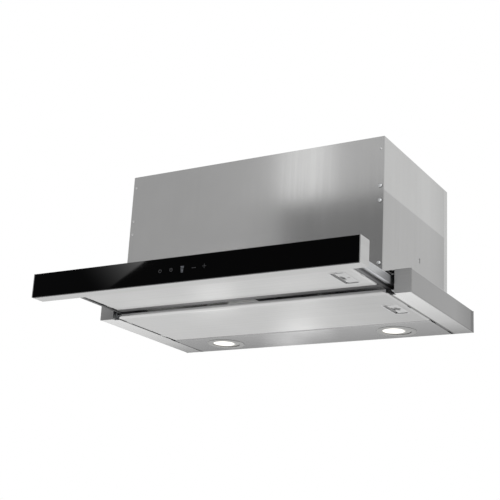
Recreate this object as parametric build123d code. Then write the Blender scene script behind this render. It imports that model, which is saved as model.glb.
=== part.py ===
from build123d import *
import math
import os

# Built-in telescopic range hood, in millimetres. X runs to the right, Y to the back, Z up.
# The origin is the middle of the plane where the base bears against the cabinet.
# The visor is modelled pulled out. Every moving piece is shown at its rest place.

# Base under the cabinet
base_width = 598
base_depth = 284
base_height = 38.5
sheet = 1.0
bend = 1.6
channel_width = 28
ledge_reach = 8.5
seat_lip = 6
seat_tongue = 5
crossmember_depth = 30
crossmember_lip = 4
cap_thickness = 1.5
cap_plug_depth = 8
cap_play = 0.3
bracket_foot = 9
corner_strip = 14
fixing_hole_radius = 2.5
fixing_hole_inset = 6.5
fixing_spacing_y = 200

# Body that goes up into the cabinet
seat_width = 49
body_height = 228.5
body_flange = 12
lid_flange = 10
rivet_radius = 2.4
rivet_dome = 1.0
rivet_inset = 6
rivet_sides = 16
rivet_taper_deg = 35
rivet_height_shares = (0.057, 0.516, 0.626, 0.91)
side_slot_width = 4
side_slot_length = 9
side_slot_y = 12
side_slot_z = 60

# Ball slides between base and visor
slide_drop = 17.2
outer_rail_height = 27
outer_rail_depth = 9.8
outer_rail_front_gap = 10
outer_rail_rear_gap = 6
rail_sheet = 1.2
inner_rail_height = 14
inner_rail_depth = 7.4
ball_play = 0.3
ball_pitch = 44
balls_per_row = 2
ball_inset = 3.3
ball_flat_share = 0.92
ball_turns = ((45, 0, 0), (0, 45, 0))
cage_sheet = 0.8
cage_bend = 1.2
cage_gap = 0.8
cage_length = 80
cage_start = 6

# Visor with its glass front
visor_travel = 155
closed_gap = 0.5
visor_side_gap = 39
visor_lift = 10.5
visor_side_height = 20
visor_bend = 1.1
visor_rear_clearance = 34
visor_ledge = 6.5
visor_top_flange = 10
visor_front_depth = 30
visor_rear_depth = 14
visor_rear_height = 17
visor_rear_gap = 1
bar_depth = 25.5
bar_wall = 1.6
bar_corner = 2
bar_boss_radius = 3.4
boss_sides = 8
bar_boss_hole = 1.5
bar_boss_inset = 6
glass_thickness = 4
glass_height = 40.5
glass_drop = 5
glass_chamfer = 0.5
bar_cap_thickness = 1.5
bar_cap_lug = 10
bar_cap_proud = 0.3
touch_x = -2
touch_width = 112
touch_height = 22
touch_board_thickness = 1.6
touch_play = 0.4

# Grease filters
filter_height = 9
pan_height = 5.7
pan_sheet = 0.8
pan_bend = 4
pan_corner_cut = 8
filter_gap = 2
filter_side_gap = 3.2
front_filter_depth = 108
lamp_strip_depth = 103
mesh_inset = 3.4
mesh_frame = 12
mesh_core = 4
mesh_slot_width = 38
mesh_slot_height = 12
mesh_slot_pitch_x = 50
mesh_slot_pitch_y = 26
mesh_notch_play = 1
tab_width = 16
tab_reach = 4
tab_thickness = 1.6
tab_lift = 1.3
tab_share = 0.3

# Filter latches
front_latch_inset = 31
rear_latch_inset = 24.5
latch_width = 28
latch_length = 64
latch_corner = 6
latch_lip = 0.6
latch_rim = 1.4
latch_wall = 1.2
latch_depth = 4.6
latch_play = 0.3
slider_length = 50
slider_thickness = 3.1
slider_pit_radius = 2.2
slider_pit_depth = 2.4
slider_pit_spacing = 8
bolt_width = 12
bolt_thickness = 1.8
bolt_reach = 4
latch_stroke = 5.5

# Lamps
lamp_gap = 2
lamp_inset = 74
lamp_radius = 35
lamp_hole_radius = 30
lamp_lip = 1.2
lamp_play = 0.4
lamp_wall = 1.2
lamp_depth = 14
lens_radius = 25.5
lens_thickness = 2
lens_play = 0.4
lens_setback = 1.5
lens_ledge = 2
lamp_panel_flange = 7
lamp_panel_bend = 1.4
lamp_ear_length = 60
lamp_ear_reach = 5

# Air outlet with its damper
collar_radius = 59.5
collar_wall = 2.5
collar_height = 30
collar_flange_radius = 72
collar_flange = 2
collar_lead_in = 1
flap_stop_width = 3.5
flap_stop_height = 1.5
flap_stop_lift = 6
flap_thickness = 1.5
flap_play = 0.3
flap_edge_gap = 0.8
flap_axis_offset = 4
flap_inner_offset = 1
flap_pin_radius = 1.2
flap_pin_play = 0.05
flap_pin_length = 3.2
flap_boss_depth = 4
flap_boss_height = 5.5
flap_boss_margin = 3
flap_notch_reach = 5
flap_bar_width = 1.4

# Fan: the scroll is three quarter arcs whose centres step by the growth
impeller_radius = 66
impeller_width = 84
blade_depth = 12
blade_count = 24
blade_thickness = 1.8
blade_lead_deg = 9
blade_camber = 2.6
impeller_ring = 1.5
impeller_disc = 1.6
hub_radius = 12
hub_length = 24
shaft_radius = 4
shaft_play = 0.05
fan_y = -25
fan_z = 104
scroll_radius = 76
scroll_growth = 12
scroll_width = 92
scroll_wall = 2
scroll_rim = 5
scroll_rim_thickness = 2
scroll_flange = 8
tongue_radius = 8
inlet_radius = 50
inlet_lip = 3

# Motor and what holds it
motor_radius = 42
motor_length = 50
motor_gap = 4
motor_bell = 4
motor_bell_radius = 37
motor_boss_radius = 10
motor_boss_length = 3
motor_fin_count = 8
motor_fin_width = 7
motor_fin_depth = 1.5
mount_radius = 5
mount_length = 7
mount_pitch_radius = 64
mount_count = 3
arm_width = 11
arm_thickness = 2
bracket_ring_width = 6
bracket_play = 0.1
shaft_overhang = 3
shaft_chamfer = 0.5

# Electrics on the back panel
control_width = 130
control_depth = 48
control_height = 68
control_side_gap = 15
control_drop = 50.5
control_wall = 2
control_corner = 3
control_lid = 2
relay_share = 0.3
board_thickness = 1.6
board_lift = 6
board_margin = 8
standoff_reach = 3
relay_size = 16
driver_width = 92
driver_depth = 24
driver_height = 36
driver_inset = 100
driver_z = 62
driver_corner = 3
driver_ear = 9
driver_ear_thickness = 3
driver_ear_hole = 2
capacitor_radius = 15
capacitor_length = 52
capacitor_inset = 80
capacitor_drop = 78.5
capacitor_rim = 1.5
tag_width = 3
tag_length = 6
tag_thickness = 1
gland_inset = 100
gland_rear_inset = 46
gland_radius = 7.8
gland_hole_radius = 8
gland_bore_radius = 4.5
gland_hex = 22
gland_hex_height = 6
hex_sides = 6
gland_dome_radius = 9
gland_dome_height = 8
gland_nut_height = 5
gland_thread_length = 8

# Limit switch that the visor side runs up to
switch_width = 8
switch_depth = 20
switch_height = 10
switch_side_gap = 1
switch_ear = 3
switch_ear_thickness = 2
lever_thickness = 0.6
lever_length = 13
lever_lean_deg = 30
lever_axle_radius = 1
lever_play = 0.05
lever_side_play = 0.3
lever_clear = 1.0

# Cuts run past the faces that they open
overrun = 5

half_width = base_width / 2
front_y = -base_depth / 2
rear_y = base_depth / 2
base_bottom = -base_height
channel_inner = half_width - channel_width
ledge_edge = channel_inner - ledge_reach
body_half = half_width - seat_width
body_inner = body_half - sheet
slide_z = -slide_drop
rail_web = half_width - visor_side_gap
rail_start = front_y + outer_rail_front_gap
rail_end = rear_y - outer_rail_rear_gap
ball_radius = (outer_rail_height / 2 - rail_sheet - inner_rail_height / 2) / 2 - ball_play
ball_z = (outer_rail_height / 2 - rail_sheet + inner_rail_height / 2) / 2
ball_x = rail_web + rail_sheet + ball_inset
bar_rear = front_y - closed_gap - visor_travel
bar_front = bar_rear - bar_depth
visor_side_length = base_depth - visor_rear_clearance
glass_front = bar_front - glass_thickness
glass_bottom = base_bottom - glass_drop
glass_top = glass_bottom + glass_height
bar_half = half_width - bar_cap_thickness
visor_bottom = base_bottom + visor_lift
visor_ledge_edge = rail_web - visor_ledge
front_filter_start = bar_rear + visor_front_depth + filter_gap
front_filter_end = front_filter_start + front_filter_depth
rear_filter_end = rear_y - lamp_strip_depth
lamp_panel_start = rear_filter_end + lamp_gap
lamp_panel_end = rear_y - sheet
lamp_x = body_half - lamp_inset
lamp_y = (lamp_panel_start + rear_y) / 2
lid_top = body_height
slider_width = latch_width - 2 * latch_rim - 2 * latch_wall - latch_stroke - 2 * latch_play
control_x = -body_half + control_side_gap + control_width / 2
control_z = body_height - control_drop
driver_x = -body_half + driver_inset
capacitor_x = body_half - capacitor_inset
capacitor_z = body_height - capacitor_drop
gland_x = -body_half + gland_inset
gland_y = rear_y - gland_rear_inset
throat_front = fan_y - scroll_growth / 2 + tongue_radius
throat_rear = fan_y + scroll_growth / 2 + scroll_radius + 2 * scroll_growth
collar_y = (throat_front + throat_rear) / 2
flap_axis_z = lid_top + collar_flange + flap_stop_lift + flap_stop_height + flap_play + flap_thickness / 2
bore_radius = collar_radius - collar_wall
scroll_half = scroll_width / 2
motor_start = scroll_half + motor_gap


def block(x0, x1, y0, y1, z0, z1):
    """A box between two opposite corners."""
    middle = ((x0 + x1) / 2, (y0 + y1) / 2, (z0 + z1) / 2)
    return Pos(*middle) * Box(abs(x1 - x0), abs(y1 - y0), abs(z1 - z0))


def rod(radius, start, end):
    """A round bar from one point to another."""
    axis = Vector(*end) - Vector(*start)
    return extrude(Plane(origin=start, z_dir=axis) * Circle(radius), amount=axis.length)


def along_y(section, y0, y1):
    """Push a section drawn as (x, z) from y0 to y1."""
    return extrude(Plane.XZ.offset(-y0) * section, amount=y1 - y0, dir=(0, 1, 0))


def along_x(section, x0, x1):
    """Push a section drawn as (y, z) from x0 to x1."""
    return extrude(Plane.YZ.offset(x0) * section, amount=x1 - x0)


def folded(points, thickness, radius):
    """Section of a folded sheet, whose outer face runs clockwise through the points."""
    line = FilletPolyline(*points, radius=radius)
    return make_face(offset(line, amount=thickness, side=Side.RIGHT))


def mirrored(shape):
    """The same piece for the other side."""
    return shape.mirror(Plane.YZ)


def right_channel():
    """Side channel of the base: seat for the body, outer wall and the ledge that carries a filter."""
    lip = (body_half, -seat_lip)
    points = (lip, (body_half, 0), (half_width, 0), (half_width, base_bottom), (ledge_edge, base_bottom))
    shape = along_y(folded(points, sheet, bend), front_y + cap_thickness, lamp_panel_end)
    rear = lamp_panel_end - corner_strip
    shape -= block(half_width - sheet, half_width + overrun, rear, rear_y, base_bottom + sheet, -sheet)
    notch = front_y + ledge_reach
    shape -= block(
        ledge_edge - overrun, channel_inner, front_y, notch, base_bottom - overrun, base_bottom + overrun
    )
    for y in (-fixing_spacing_y / 2, fixing_spacing_y / 2):
        x = body_half + fixing_hole_inset
        shape -= rod(fixing_hole_radius, (x, y, -overrun), (x, y, overrun))
    return shape


def right_channel_cap():
    """Front cap of a side channel, with the plug that holds it."""
    plate = block(channel_inner, half_width, front_y, front_y + cap_thickness, base_bottom, 0)
    plate = fillet(plate.edges().filter_by(Axis.Y), cap_play)
    x0 = channel_inner + sheet + cap_play
    x1 = half_width - sheet - cap_play
    z0 = base_bottom + 2 * sheet + cap_play
    z1 = -2 * sheet - cap_play
    y0 = front_y + cap_thickness
    y1 = y0 + cap_plug_depth
    plug = block(x0, x1, y0, y1, z0, z1)
    hollow = block(
        x0 + cap_thickness, x1 - cap_thickness, y0, y1 + overrun, z0 + cap_thickness, z1 - cap_thickness
    )
    return plate + (plug - hollow)


def right_slide_bracket():
    """Inner wall of the side channel, which carries the slide."""
    foot = channel_inner + bracket_foot
    points = (
        (foot, base_bottom + sheet), (channel_inner, base_bottom + sheet), (channel_inner, -sheet), (foot, -sheet)
    )
    return along_y(folded(points, sheet, bend), front_y + cap_thickness, lamp_panel_end)


def base_front_crossmember():
    """Strip that ties the two channels together under the body's front panel."""
    strip = block(-body_inner, body_inner, front_y, front_y + crossmember_depth, -sheet, 0)
    stiffener = front_y + crossmember_depth
    return strip + block(
        -body_inner, body_inner, stiffener - sheet, stiffener, -sheet - crossmember_lip, -sheet
    )


def base_rear_wall():
    """Rear wall of the base, with its top flange and the strips that close the side corners."""
    wall = block(-half_width, half_width, lamp_panel_end, rear_y, base_bottom, 0)
    wall += block(-body_inner, body_inner, rear_y - crossmember_depth, lamp_panel_end, -sheet, 0)
    strip = block(
        half_width - sheet, half_width, lamp_panel_end - corner_strip, lamp_panel_end, base_bottom + sheet, -sheet
    )
    return wall + strip + mirrored(strip)


def lamp_panel():
    """Rear strip of the underside that holds the two lamps."""
    half = ledge_edge - filter_side_gap
    top = base_bottom + lamp_panel_flange
    shape = block(-half, half, lamp_panel_start, lamp_panel_end, base_bottom, top)
    edges = shape.edges().group_by(Axis.Z)[0].filter_by(Axis.X).sort_by(Axis.Y)[0:1]
    shape = fillet(edges, lamp_panel_bend)
    inner = block(
        -half + sheet, half - sheet, lamp_panel_start + sheet, lamp_panel_end + overrun, base_bottom + sheet, top + overrun
    )
    shape -= inner
    z0 = base_bottom + sheet
    for side in (-1, 1):
        x0 = side * (half - sheet)
        x1 = side * (ledge_edge + lamp_ear_reach)
        shape += block(x0, x1, lamp_y - lamp_ear_length / 2, lamp_y + lamp_ear_length / 2, z0, z0 + sheet)
    for x in (-lamp_x, lamp_x):
        shape -= rod(lamp_hole_radius, (x, lamp_y, base_bottom - overrun), (x, lamp_y, top))
    return shape


def lamp_housing(x):
    """Turned lamp cup: rim below the panel, wall through its hole, ledge behind the lens, roof."""
    z0 = base_bottom - lamp_lip
    wall_radius = lamp_hole_radius - lamp_play
    bore = lens_radius + lens_play
    lens_top = z0 + lens_setback + lens_thickness
    cup = rod(lamp_radius, (x, lamp_y, z0), (x, lamp_y, base_bottom))
    cup = chamfer(cup.edges().group_by(Axis.Z)[0], lamp_lip / 2)
    cup += rod(wall_radius, (x, lamp_y, base_bottom), (x, lamp_y, base_bottom + lamp_depth))
    cup -= rod(bore, (x, lamp_y, z0 - overrun), (x, lamp_y, lens_top))
    roof = base_bottom + lamp_depth - lamp_wall
    return cup - rod(lens_radius - lens_ledge, (x, lamp_y, z0), (x, lamp_y, roof))


def lamp_lens(x):
    """Frosted lens disc, its back against the ledge of the cup."""
    z0 = base_bottom - lamp_lip + lens_setback
    lens = rod(lens_radius, (x, lamp_y, z0), (x, lamp_y, z0 + lens_thickness))
    return chamfer(lens.edges().group_by(Axis.Z)[0], lens_thickness / 4)


def front_panel():
    """Front wall of the body."""
    return block(-body_half, body_half, front_y, front_y + sheet, 0, body_height)


def right_side_panel():
    """Side wall of the body: front edge turned in behind the front panel, lower edge against the seat's lip."""
    x1 = body_half
    y0 = front_y + sheet
    points = ((x1 - body_flange, y0), (x1, y0), (x1, rear_y - sheet - corner_strip))
    line = FilletPolyline(*points, radius=bend)
    section = make_face(offset(line, amount=sheet, side=Side.LEFT))
    shape = extrude(Plane.XY.offset(-seat_tongue) * section, amount=seat_tongue + body_height)
    top = body_height - lid_flange - sheet
    shape -= block(0, x1 - sheet, y0 - overrun, y0 + bend + sheet, top, body_height + overrun)
    shape -= block(0, x1 - sheet, y0 - overrun, y0 + bend + sheet, -seat_tongue - overrun, 0)
    slot = SlotOverall(side_slot_length, side_slot_width, rotation=90)
    return shape - along_x(Pos(side_slot_y, side_slot_z) * slot, x1 - overrun, x1 + overrun)


def back_panel():
    """Back wall of the body, with the strips that close its side corners."""
    wall = block(-body_half, body_half, rear_y - sheet, rear_y, 0, body_height)
    strip = block(body_half - sheet, body_half, rear_y - sheet - corner_strip, rear_y - sheet, 0, body_height)
    return wall + strip + mirrored(strip)


def top_panel():
    """Lid of the body with its flanges down, the air outlet hole and the cable inlet hole."""
    half = body_half - sheet
    y0 = front_y + sheet
    y1 = rear_y - sheet
    shape = block(-half, half, y0, y1, lid_top - lid_flange - sheet, lid_top)
    low = lid_top - lid_flange - sheet - overrun
    shape -= block(-half + sheet, half - sheet, y0 + sheet, y1 - sheet, low, lid_top - sheet)
    shape -= rod(bore_radius, (0, collar_y, low), (0, collar_y, lid_top + overrun))
    return shape - rod(gland_hole_radius, (gland_x, gland_y, low), (gland_x, gland_y, lid_top + overrun))


def body_rivets():
    """Heads of the rivets that hold the front panel to the side flanges."""
    heads = []
    for x in (-body_half + rivet_inset, body_half - rivet_inset):
        for z in (share * body_height for share in rivet_height_shares):
            place = Plane(origin=(x, front_y, z), z_dir=(0, -1, 0))
            outline = place * RegularPolygon(rivet_radius, rivet_sides)
            heads.append(extrude(outline, amount=rivet_dome, taper=rivet_taper_deg))
    return heads


def duct_collar():
    """Plastic outlet collar: flange, tube, flap stop, bearing bosses and the bar between the flaps."""
    z0 = lid_top
    z1 = lid_top + collar_flange
    z2 = z1 + collar_height
    shape = rod(collar_flange_radius, (0, collar_y, z0), (0, collar_y, z1))
    tube = rod(collar_radius, (0, collar_y, z1), (0, collar_y, z2))
    shape += chamfer(tube.edges().group_by(Axis.Z)[-1], collar_lead_in)
    shape -= rod(bore_radius, (0, collar_y, z0 - overrun), (0, collar_y, z2 + overrun))
    stop_z = z1 + flap_stop_lift
    ring = Pos(0, collar_y) * (Circle(bore_radius + collar_wall / 2) - Circle(bore_radius - flap_stop_width))
    shape += extrude(Plane.XY.offset(stop_z) * ring, amount=flap_stop_height)
    reach = flap_axis_offset + flap_boss_margin
    for side in (-1, 1):
        x0 = side * (bore_radius - flap_boss_depth)
        x1 = side * (bore_radius + collar_wall / 2)
        shape += block(x0, x1, collar_y - reach, collar_y + reach, stop_z, stop_z + flap_boss_height)
        end = side * (bore_radius + flap_pin_play)
        for y in (collar_y - flap_axis_offset, collar_y + flap_axis_offset):
            shape -= rod(
                flap_pin_radius + flap_pin_play, (x0 - side * overrun, y, flap_axis_z), (end, y, flap_axis_z)
            )
    half = bore_radius - flap_boss_depth / 2
    bar = block(
        -half, half, collar_y - flap_bar_width / 2, collar_y + flap_bar_width / 2, stop_z, stop_z + flap_boss_height
    )
    return shape + bar


def rear_flap():
    """Half-moon damper flap behind the bar, with its two stub axles."""
    radius = bore_radius - flap_edge_gap
    z0 = flap_axis_z - flap_thickness / 2
    shape = rod(radius, (0, collar_y, z0), (0, collar_y, z0 + flap_thickness))
    shape -= block(
        -radius, radius, collar_y - radius, collar_y + flap_inner_offset, z0 - overrun, z0 + overrun
    )
    end = bore_radius - flap_boss_depth - flap_play
    reach = collar_y + flap_axis_offset + flap_notch_reach
    for side in (-1, 1):
        shape -= block(side * end, side * (radius + overrun), collar_y, reach, z0 - overrun, z0 + overrun)
        start = (side * (end - flap_boss_depth), collar_y + flap_axis_offset, flap_axis_z)
        tip = (side * (end + flap_pin_length), collar_y + flap_axis_offset, flap_axis_z)
        shape += rod(flap_pin_radius, start, tip)
    return shape


def front_flap():
    """The other flap, turned half a turn about the collar's axis."""
    return Pos(0, collar_y, 0) * Rot(0, 0, 180) * Pos(0, -collar_y, 0) * rear_flap()


def right_outer_rail():
    """Fixed member of the ball slide, open towards the visor."""
    x0 = channel_inner - outer_rail_depth
    z0 = slide_z - outer_rail_height / 2
    z1 = slide_z + outer_rail_height / 2
    points = ((x0, z1), (channel_inner, z1), (channel_inner, z0), (x0, z0))
    return along_y(folded(points, rail_sheet, bend), rail_start, rail_end)


def right_inner_rail():
    """Moving member of the ball slide, on the outer face of the visor side."""
    x1 = rail_web + inner_rail_depth
    z0 = slide_z - inner_rail_height / 2
    z1 = slide_z + inner_rail_height / 2
    points = ((rail_web, z1), (x1, z1), (x1, z0), (rail_web, z0))
    return along_y(folded(points, rail_sheet, bend), bar_rear, bar_rear + visor_side_length)


def ball_places():
    """Centres of the balls in one slide."""
    middle = rail_start + cage_start + cage_length / 2
    for z in (slide_z - ball_z, slide_z + ball_z):
        for i in range(balls_per_row):
            yield (ball_x, middle + (i - (balls_per_row - 1) / 2) * ball_pitch, z)


def right_ball_cage():
    """Thin cage that keeps the balls of a slide in step."""
    x0 = ball_x - ball_radius / 2
    x1 = rail_web + inner_rail_depth + cage_gap + cage_sheet
    z0 = slide_z - ball_z - cage_sheet / 2
    z1 = slide_z + ball_z + cage_sheet / 2
    points = ((x0, z1), (x1, z1), (x1, z0), (x0, z0))
    start = rail_start + cage_start
    cage = along_y(folded(points, cage_sheet, cage_bend), start, start + cage_length)
    for x, y, z in ball_places():
        cage -= rod(ball_radius + ball_play, (x, y, z - ball_radius), (x, y, z + ball_radius))
    return cage


def right_balls():
    """Balls of one slide, each with flats all round."""
    side = 2 * ball_radius * ball_flat_share
    ball = Box(side, side, side)
    for turn in ball_turns:
        ball &= Rot(*turn) * Box(side, side, side)
    return [Pos(*place) * ball for place in ball_places()]


def front_bar():
    """Hollow bar behind the glass, with screw bosses for its end caps and a window for the touch board."""
    section = Pos((bar_front + bar_rear) / 2, (glass_bottom + glass_top) / 2) * Rectangle(
        bar_depth, glass_height
    )
    rear_corners = section.vertices().group_by(Axis.X)[-1]
    section = fillet(rear_corners, bar_corner)
    section -= offset(section, amount=-bar_wall)
    y = bar_rear - bar_boss_inset
    for z in (glass_bottom + bar_boss_inset, glass_top - bar_boss_inset):
        section += Pos(y, z) * RegularPolygon(bar_boss_radius, boss_sides)
        section += Pos((y + bar_rear) / 2, z) * Rectangle(bar_boss_inset, bar_wall)
    for z in (glass_bottom + bar_boss_inset, glass_top - bar_boss_inset):
        section -= Pos(y, z) * Circle(bar_boss_hole)
    bar = along_x(section, -bar_half, bar_half)
    x0 = touch_x - touch_width / 2
    middle = (glass_bottom + glass_top) / 2
    z0 = middle - touch_height / 2
    return bar - block(x0, x0 + touch_width, bar_front - overrun, bar_front + bar_wall, z0, z0 + touch_height)


def glass_panel():
    """Black glass front, its edges ground."""
    glass = block(-bar_half, bar_half, glass_front, bar_front, glass_bottom, glass_top)
    return chamfer(glass.edges().group_by(Axis.Y)[0], glass_chamfer)


def touch_board():
    """Touch board in the window of the bar, against the back of the glass."""
    x0 = touch_x - touch_width / 2 + touch_play
    x1 = touch_x + touch_width / 2 - touch_play
    middle = (glass_bottom + glass_top) / 2
    half = touch_height / 2 - touch_play
    board = block(x0, x1, bar_front, bar_front + touch_board_thickness, middle - half, middle + half)
    y = bar_front + touch_board_thickness
    chip = block(
        touch_x - half, touch_x + half, y, y + touch_board_thickness, middle - half / 2, middle + half / 2
    )
    return board + chip


def right_bar_cap():
    """End cap over the bar and the glass edge, with a lug into the hollow bar."""
    cap = block(bar_half, half_width, glass_front - bar_cap_proud, bar_rear, glass_bottom, glass_top)
    edges = cap.edges().filter_by(Axis.X).group_by(Axis.Y)[-1]
    cap = fillet(edges, bar_corner)
    y0 = bar_front + bar_wall + touch_play
    y1 = bar_rear - bar_boss_inset - bar_boss_radius - touch_play
    middle = (glass_bottom + glass_top) / 2
    half = glass_height / 4
    return cap + block(bar_half - bar_cap_lug, bar_half, y0, y1, middle - half, middle + half)


def right_visor_side():
    """Side of the visor: channel open inwards, its lower flange carries the front filter."""
    top = visor_bottom + visor_side_height
    inner = rail_web - visor_top_flange
    points = ((inner, top), (rail_web, top), (rail_web, visor_bottom), (visor_ledge_edge, visor_bottom))
    return along_y(folded(points, sheet, visor_bend), bar_rear, bar_rear + visor_side_length)


def visor_front_crossmember():
    """Tray between the bar and the front filter, resting on the side flanges."""
    half = rail_web - bend
    z0 = visor_bottom + sheet
    height = visor_rear_height
    y1 = bar_rear + visor_front_depth
    tray = block(-half, half, bar_rear, y1, z0, z0 + height)
    return tray - block(
        -half - overrun, half + overrun, bar_rear + sheet, y1 - sheet, z0 + sheet, z0 + height + overrun
    )


def visor_rear_crossmember():
    """Upturned channel that closes the visor behind the front filter."""
    half = rail_web - bend
    z0 = visor_bottom + sheet
    y0 = front_filter_end + visor_rear_gap
    y1 = y0 + visor_rear_depth
    tray = block(-half, half, y0, y1, z0, z0 + visor_rear_height)
    hollow = block(
        -half - overrun, half + overrun, y0 + sheet, y1 - sheet, z0 + sheet, z0 + visor_rear_height + overrun
    )
    return tray - hollow


def filter_pan(half, y0, y1, bottom, latch_inset):
    """Steel face of a filter: folded pan with mitred flanges, hinge tabs and openings for the latch."""
    pan = block(-half, half, y0, y1, bottom, bottom + pan_height)
    pan = fillet(pan.edges().group_by(Axis.Z)[0], pan_bend)
    inner = block(
        -half + pan_sheet, half - pan_sheet, y0 + pan_sheet, y1 - pan_sheet, bottom + pan_sheet, bottom + pan_height + overrun
    )
    pan -= fillet(inner.edges().group_by(Axis.Z)[0], pan_bend - pan_sheet)
    for side in (-1, 1):
        for y, back in ((y0, -1), (y1, 1)):
            cut = Plane(
                origin=(side * half, y, bottom), z_dir=(side * pan_height, back * pan_height, pan_corner_cut)
            )
            pan = split(pan, bisect_by=cut, keep=Keep.BOTTOM)
    middle = (y0 + y1) / 2
    z0 = bottom + tab_lift
    for share in (-tab_share, tab_share):
        y = middle + share * (y1 - y0)
        x0 = -half - filter_side_gap - tab_reach
        x1 = -half + pan_bend / 2
        pan += block(x0, x1, y - tab_width / 2, y + tab_width / 2, z0, z0 + tab_thickness)
    x = half - latch_inset
    hole = offset(latch_cup(), amount=latch_play, kind=Kind.INTERSECTION)
    pan -= extrude(Plane.XY.offset(bottom - overrun) * Pos(x, middle) * hole, amount=2 * overrun)
    z1 = bottom + bolt_z() + bolt_thickness + latch_play
    reach = bolt_width / 2 + latch_play
    z0 = bottom + bolt_z() - latch_play
    return pan - block(half - pan_sheet - pan_bend, half + overrun, middle - reach, middle + reach, z0, z1)


def bolt_z():
    """Height of the bolt above the underside of its filter."""
    return sheet + latch_play


def latch_cup():
    """Outline of the latch cup where it passes through the filter's face."""
    cup = Rectangle(latch_width - 2 * latch_rim, latch_length - 2 * latch_rim)
    return chamfer(cup.vertices(), latch_corner - latch_rim)


def latch_housing(half, y0, y1, bottom, latch_inset):
    """Grey latch cup, let into the filter from below, open below and towards the ledge."""
    x = half - latch_inset
    y = (y0 + y1) / 2
    rim = RectangleRounded(latch_width, latch_length, latch_corner)
    shape = extrude(Plane.XY.offset(bottom - latch_lip) * Pos(x, y) * rim, amount=latch_lip)
    shape = chamfer(shape.edges().group_by(Axis.Z)[0], latch_lip / 2)
    wide = latch_width - 2 * latch_rim
    long = latch_length - 2 * latch_rim
    shape += extrude(Plane.XY.offset(bottom) * Pos(x, y) * latch_cup(), amount=latch_depth)
    hollow = RectangleRounded(
        wide - 2 * latch_wall, long - 2 * latch_wall, latch_corner - latch_rim - latch_wall
    )
    shape -= extrude(
        Plane.XY.offset(bottom - overrun) * Pos(x, y) * hollow, amount=overrun + latch_depth - latch_wall
    )
    reach = bolt_width / 2 + latch_play
    z0 = bottom + bolt_z() - latch_play
    z1 = z0 + bolt_thickness + 2 * latch_play
    return shape - block(x + wide / 2 - latch_wall * 2, x + wide / 2 + overrun, y - reach, y + reach, z0, z1)


def latch_slider(half, y0, y1, bottom, latch_inset):
    """Sliding latch: finger pad with two pits, and the bolt that reaches over the ledge."""
    x = half - latch_inset
    y = (y0 + y1) / 2
    x1 = x + latch_width / 2 - latch_rim - latch_wall - latch_play
    x0 = x1 - slider_width
    pad = block(x0, x1, y - slider_length / 2, y + slider_length / 2, bottom, bottom + slider_thickness)
    pad = chamfer(pad.edges().filter_by(Axis.Z), slider_pit_radius / 2)
    for dx in (-slider_pit_spacing / 2, slider_pit_spacing / 2):
        cx = (x0 + x1) / 2 + dx
        pad -= rod(slider_pit_radius, (cx, y, bottom - overrun), (cx, y, bottom + slider_pit_depth))
    z0 = bottom + bolt_z()
    tip = half + filter_side_gap + bolt_reach
    return pad + block(
        x1 - slider_width / 2, tip, y - bolt_width / 2, y + bolt_width / 2, z0, z0 + bolt_thickness
    )


def mesh_cassette(half, y0, y1, bottom, latch_inset):
    """Aluminium grease filter behind the face: a frame round a slotted core, cut clear of the latch."""
    inset = pan_sheet + mesh_inset
    x1 = half - inset
    a = y0 + inset
    b = y1 - inset
    z0 = bottom + pan_sheet
    top = bottom + filter_height
    shape = block(-x1, x1, a, b, z0, top)
    core = (filter_height - pan_sheet - mesh_core) / 2
    low = block(-x1 + mesh_frame, x1 - mesh_frame, a + mesh_frame, b - mesh_frame, z0 - overrun, z0 + core)
    high = block(-x1 + mesh_frame, x1 - mesh_frame, a + mesh_frame, b - mesh_frame, top - core, top + overrun)
    shape -= low + high
    across = int((2 * x1 - 2 * mesh_frame) // mesh_slot_pitch_x)
    deep = int((b - a - 2 * mesh_frame) // mesh_slot_pitch_y)
    slots = Pos(0, (a + b) / 2, z0) * GridLocations(mesh_slot_pitch_x, mesh_slot_pitch_y, across, deep)
    slot = Box(mesh_slot_width, mesh_slot_height, filter_height)
    shape -= [place * slot for place in slots]
    x = half - latch_inset
    y = (y0 + y1) / 2
    reach_x = latch_width / 2 - latch_rim + mesh_notch_play
    reach_y = latch_length / 2 - latch_rim + mesh_notch_play
    return shape - block(x - reach_x, half + overrun, y - reach_y, y + reach_y, z0 - overrun, top + overrun)


def scroll_line(grow):
    """Outline of the scroll as (y, z), pushed out by grow: three quarter arcs and the throat walls."""
    s = scroll_growth / 2
    r = scroll_radius + grow
    c1 = (fan_y - s, fan_z - s)
    c2 = (fan_y + s, fan_z - s)
    c3 = (fan_y + s, fan_z + s)
    tongue = (c1[0], c1[1] + scroll_radius + tongue_radius)
    tip = tongue_radius - grow
    top = lid_top - sheet
    one = CenterArc(c1, r, 90, 90)
    two = CenterArc(c2, r + scroll_growth, 180, 90)
    three = CenterArc(c3, r + 2 * scroll_growth, 270, 90)
    nose = CenterArc(tongue, tip, 270, 90)
    front = Line(nose @ 1, (tongue[0] + tip, top))
    back = Line(three @ 1, (c3[0] + r + 2 * scroll_growth, top))
    lid = Line(front @ 1, back @ 1)
    return make_face([one, two, three, nose, front, back, lid])


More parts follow.
